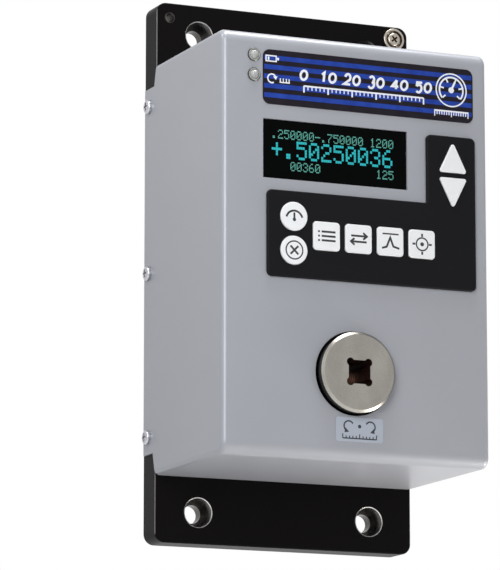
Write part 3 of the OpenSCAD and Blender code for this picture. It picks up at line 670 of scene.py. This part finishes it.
# Header marks: a plain scale, a dial over a comb, and a sign beside each lamp
header = Face("header_label")
NUMERAL_V = 2.6
NUMERAL_HEIGHT = 6.4
NUMERAL_STROKE = 1.35
NUMERAL_HALF = 0.3
NUMERAL_PITCH = 0.84
LEAN = 0.12
NUMERALS = {
    "0": [arc((0, 0), 1, 0, 360, 24)[:-1]],
    "1": [[(-0.55, 0.55), (0.15, 1), (0.15, -1)]],
    "2": [arc((0, 0.45), 0.8, 170, -35, 14) + [(-0.95, -1), (0.95, -1)]],
    "3": [arc((0, 0.5), 0.75, 150, -80, 14), arc((0, -0.45), 0.9, 75, -150, 14)],
    "4": [[(0.3, 1), (-0.95, -0.4), (1, -0.4)], [(0.3, 1), (0.3, -1)]],
    "5": [[(0.85, 1), (-0.7, 1), (-0.75, 0.1)], arc((-0.02, -0.35), 0.85, 145, -140, 16)],
}


def numeral(mesh, text, u):
    """Plain stroked digits on the header, centred on u."""
    half = NUMERAL_HEIGHT * NUMERAL_HALF
    rise = NUMERAL_HEIGHT / 2 - NUMERAL_STROKE / 2
    for place, digit in enumerate(text):
        centre = u + (place - (len(text) - 1) / 2) * NUMERAL_HEIGHT * NUMERAL_PITCH
        for level, stroke in enumerate(NUMERALS[digit]):
            points = [(centre + a * half + LEAN * b * rise, NUMERAL_V + b * rise) for a, b in stroke]
            ribbon(mesh, header, points, NUMERAL_STROKE, digit == "0", level)


SCALE_FROM = -39.0
SCALE_TO = 33.0
SCALE_V = -3.4
SCALE_STEPS = 30
LONG_EVERY = 6
LONG_TICK = 3.6
SHORT_TICK = 2.2
LONG_STROKE = 0.9
SHORT_STROKE = 0.6


def header_scale(mesh):
    ribbon(mesh, header, [(SCALE_FROM, SCALE_V), (SCALE_TO, SCALE_V)], LONG_STROKE)
    for i in range(SCALE_STEPS + 1):
        u = SCALE_FROM + (SCALE_TO - SCALE_FROM) * i / SCALE_STEPS
        long = i % LONG_EVERY == 0
        tick = LONG_TICK if long else SHORT_TICK
        stroke = LONG_STROKE if long else SHORT_STROKE
        ribbon(mesh, header, [(u, SCALE_V), (u, SCALE_V - tick)], stroke, level=1)
        if long:
            digit = str(i // LONG_EVERY)
            numeral(mesh, digit if i == 0 else digit + "0", u)


DIAL_AT = (50.0, 2.6)
DIAL_FROM = -40
DIAL_TO = 220
DIAL_STEP = 52
POINTER_ANGLE = 64
COMB_V = -9.4
COMB_ENDS = (39.5, 60.5)
COMB_FROM = 39.8
COMB_LENGTH = 20.4
COMB_STEPS = 14
COMB_LONG_EVERY = 7
COMB_LONG_V = -12.6
COMB_SHORT_V = -11.6


def header_dial(mesh):
    ring(mesh, header, DIAL_AT, 9.2, 0.8)
    ribbon(mesh, header, arc(DIAL_AT, 7.2, DIAL_FROM, DIAL_TO, 40), 1.0)
    for angle in range(DIAL_FROM, DIAL_TO + 1, DIAL_STEP):
        ribbon(mesh, header, spoke(DIAL_AT, 4.6, 6.9, angle), LONG_STROKE, level=1)
    ribbon(mesh, header, spoke(DIAL_AT, 0, 5.4, POINTER_ANGLE), 1.2, level=2)
    disc(mesh, header, DIAL_AT, 1.7, 3)
    ribbon(mesh, header, [(end, COMB_V) for end in COMB_ENDS], LONG_STROKE)
    for i in range(COMB_STEPS + 1):
        u = COMB_FROM + COMB_LENGTH * i / COMB_STEPS
        tooth_v = COMB_LONG_V if i % COMB_LONG_EVERY == 0 else COMB_SHORT_V
        ribbon(mesh, header, [(u, COMB_V), (u, tooth_v)], SHORT_STROKE, level=1)


SIGNS_U = -61.4
CELL_TOP = 11.6
CELL_W = 6
CELL_H = 3
TURN_AT = (SIGNS_U + 3.4, -0.9)
TURN_R = 2.4
TURN_FROM = 30
TURN_TO = 300
RULE_V = -2.6
RULE_TOP = -0.4
SIGN_STROKE = 0.7


def lamp_signs(mesh):
    """A battery beside the upper lamp, a turning arrow and a short rule beside the lower one."""
    right = SIGNS_U + CELL_W
    low = CELL_TOP - CELL_H
    ribbon(mesh, header, [(SIGNS_U, low), (right, low), (right, CELL_TOP), (SIGNS_U, CELL_TOP)],
           SIGN_STROKE, True)
    ribbon(mesh, header, [(SIGNS_U + 6.5, CELL_TOP - 1.5), (SIGNS_U + 7.6, CELL_TOP - 1.5)], 1.4)
    ribbon(mesh, header, [(SIGNS_U + 1.5, CELL_TOP - 2.4), (SIGNS_U + 1.5, CELL_TOP - 0.6)], 1.0, level=1)
    ribbon(mesh, header, arc(TURN_AT, TURN_R, TURN_FROM, TURN_TO, 24), 0.8)
    tip_u, tip_v = arc_point(TURN_AT, TURN_R, TURN_FROM)
    prism(mesh, header, [(tip_u + a, tip_v + b) for a, b in ((-1.3, -0.1), (1.3, 0.2), (0.3, -1.9))], 1)
    ribbon(mesh, header, [(SIGNS_U + 8, RULE_V), (SIGNS_U + 14, RULE_V)], SIGN_STROKE)
    for u in (8.4, 10.2, 12.0, 13.6):
        ribbon(mesh, header, [(SIGNS_U + u, RULE_V), (SIGNS_U + u, RULE_TOP)], SHORT_STROKE, level=1)


piece("header_scale", "base", white_ink, header_scale)
piece("header_dial", "base", white_ink, header_dial)
piece("header_lamp_signs", "base", white_ink, lamp_signs)

# Rating label: two opposite turning arrows over a plain scale
rating = Face("rating_label")
ARROW_U = 6.4
ARROW_V = 1.8
ARROW_R = 2.8
ARROW_FROM = 150
ARROW_TO = -60
LABEL_SCALE_U = 10
LABEL_SCALE_V = -4.8
LABEL_STEPS = 10
LABEL_PITCH = 2
LABEL_LONG_EVERY = 5
LABEL_LONG_V = -2.4
LABEL_SHORT_V = -3.4


def rating_marks(mesh):
    tip_u, tip_v = arc_point((0, 0), ARROW_R, ARROW_TO)
    for way in (-1, 1):
        middle = ARROW_U * way
        turn = arc((0, 0), ARROW_R, ARROW_FROM, ARROW_TO, 20)
        ribbon(mesh, rating, [(middle + way * u, ARROW_V + v) for u, v in turn], 0.8)
        head = [(middle + way * (tip_u + a), ARROW_V + tip_v + b)
                for a, b in ((0.6, 1.5), (1.2, -1.1), (-1.6, -0.7))]
        prism(mesh, rating, head[::way], 1)
    disc(mesh, rating, (0, ARROW_V), 1.0)
    ribbon(mesh, rating, [(-LABEL_SCALE_U, LABEL_SCALE_V), (LABEL_SCALE_U, LABEL_SCALE_V)], 0.7)
    for i in range(LABEL_STEPS + 1):
        u = -LABEL_SCALE_U + LABEL_PITCH * i
        tick_v = LABEL_LONG_V if i % LABEL_LONG_EVERY == 0 else LABEL_SHORT_V
        ribbon(mesh, rating, [(u, LABEL_SCALE_V), (u, tick_v)], SHORT_STROKE, level=1)


piece("rating_marks", "base", dark_ink, rating_marks)

# Stage: white where the camera or a reflection sees past the object, soft light elsewhere
FLOOR_Z = -460.0
FLOOR_HALF = 6.0
FLOOR_GLOW = 0.75
WORLD_LIGHT = 0.22
WHITE = (1, 1, 1, 1)


def seen_directly(tree):
    """1 for rays that show the background: camera, glossy and transmission rays."""
    path = tree.nodes.new("ShaderNodeLightPath")
    total = path.outputs["Is Camera Ray"]
    for name in ("Is Glossy Ray", "Is Transmission Ray"):
        either = tree.nodes.new("ShaderNodeMath")
        either.operation = "MAXIMUM"
        tree.links.new(total, either.inputs[0])
        tree.links.new(path.outputs[name], either.inputs[1])
        total = either.outputs[0]
    return total


def light_world():
    world = bpy.data.worlds.new("studio")
    scene.world = world
    world.use_nodes = True
    tree = world.node_tree
    background = tree.nodes["Background"]
    background.inputs["Color"].default_value = WHITE
    strength = tree.nodes.new("ShaderNodeMapRange")
    strength.inputs["To Min"].default_value = WORLD_LIGHT
    strength.inputs["To Max"].default_value = 1.0
    tree.links.new(seen_directly(tree), strength.inputs["Value"])
    tree.links.new(strength.outputs[0], background.inputs["Strength"])


light_world()


def make_floor():
    """A square floor; its half width is in metres."""
    signs = ((-1, -1), (1, -1), (1, 1), (-1, 1))
    corners = [(FLOOR_HALF * a, FLOOR_HALF * b, FLOOR_Z * MM) for a, b in signs]
    data = bpy.data.meshes.new("floor")
    data.from_pydata(corners, [], [(0, 1, 2, 3)])
    floor = bpy.data.objects.new("floor", data)
    scene.collection.objects.link(floor)
    shader = speckled("floor_paper", linear(238, 238, 238), 0.7, grain=4, amount=0.01, depth=0)
    shader.surface.inputs["Emission Color"].default_value = WHITE
    glow = shader.math("MULTIPLY", seen_directly(shader.tree), FLOOR_GLOW)
    shader.set(shader.surface, "Emission Strength", glow)
    data.materials.append(shader.material)


make_floor()


def lamp(name, place, aim, size, watts, colour=(1, 1, 1)):
    """An oblong area lamp; place and aim in millimetres."""
    data = bpy.data.lights.new(name, "AREA")
    data.shape = "RECTANGLE"
    data.size = size[0] * MM
    data.size_y = size[1] * MM
    data.energy = watts
    data.color = colour
    made = bpy.data.objects.new(name, data)
    scene.collection.objects.link(made)
    made.location = Vector(place) * MM
    made.rotation_mode = "QUATERNION"
    made.rotation_quaternion = (Vector(aim) - Vector(place)).to_track_quat("-Z", "Y")


lamp("left_top", (-380, -60, 330), (-79, -60, 90), (160, 160), 0.39)
lamp("top", (60, -190, 900), (0, -90, 115), (700, 200), 7.9)
lamp("fill_near", (-420, -620, 150), (-40, -113, 0), (300, 500), 2.8, (0.97, 0.99, 1.0))
lamp("low_right", (380, -150, -420), (60, -70, -115), (200, 200), 2.1, (1.0, 0.95, 0.86))
